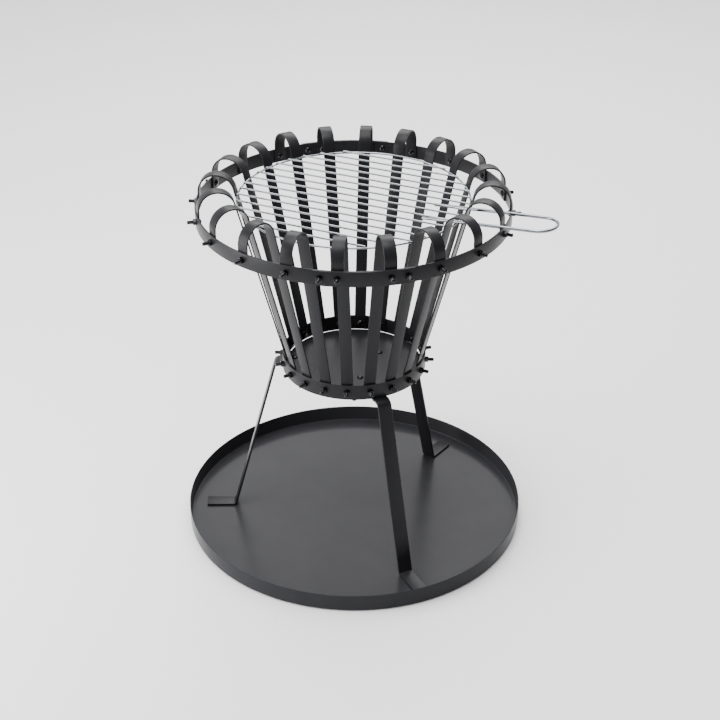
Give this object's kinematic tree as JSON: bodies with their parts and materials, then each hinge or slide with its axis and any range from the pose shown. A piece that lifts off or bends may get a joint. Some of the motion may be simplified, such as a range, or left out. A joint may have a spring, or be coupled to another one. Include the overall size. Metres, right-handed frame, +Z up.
{
  "type": "fire pit with grate",
  "caption": "Round fire basket of curled flat-bar slats on bent legs, standing in a shallow ash tray, with a lift-off wire cooking grate and loop handle.",
  "frame": {"origin": "centre of the ash tray's underside, where the fire pit stands on the ground", "axes": "+Z up along the basket's axis; the grate's handle points mostly towards +X; -Y faces the pictured side"},
  "size_m": [0.4971, 0.48, 0.5242],
  "materials": {
    "tray_sheet": "satin",
    "black_steel": "satin",
    "fastener_black": "satin",
    "chrome_wire": "polished"
  },
  "bodies": {
    "tray": {"ash_tray": "tray_sheet"},
    "basket": {"floor_plate": "black_steel", "bottom_hoop": "black_steel", "top_hoop_right": "black_steel", "top_hoop_left": "black_steel", "splice_front": "black_steel", "splice_back": "black_steel", "slat_01": "black_steel", "slat_02": "black_steel", "slat_03": "black_steel", "slat_04": "black_steel", "slat_05": "black_steel", "slat_06": "black_steel", "slat_07": "black_steel", "slat_08": "black_steel", "slat_09": "black_steel", "slat_10": "black_steel", "slat_11": "black_steel", "slat_12": "black_steel", "slat_13": "black_steel", "slat_14": "black_steel", "slat_15": "black_steel", "slat_16": "black_steel", "slat_17": "black_steel", "slat_18": "black_steel", "slat_19": "black_steel", "slat_20": "black_steel", "leg_left": "black_steel", "leg_front": "black_steel", "leg_back": "black_steel", "top_slat_bolts": "fastener_black", "top_slat_nuts": "fastener_black", "bottom_slat_bolts": "fastener_black", "bottom_slat_nuts": "fastener_black", "splice_bolts": "fastener_black", "splice_nuts": "fastener_black", "leg_bolts": "fastener_black", "leg_nuts": "fastener_black"},
    "grate": {"grate_ring": "chrome_wire", "grate_bars": "chrome_wire", "grate_handle": "chrome_wire"}
  },
  "joints": [
    {"name": "basket_lift", "type": "slide", "parent": "tray", "child": "basket", "axis": [0, 0, 1], "range_m": [0, 0.15]},
    {"name": "grate_lift", "type": "slide", "parent": "basket", "child": "grate", "axis": [0, 0, 1], "range_m": [0, 0.2]}
  ]
}
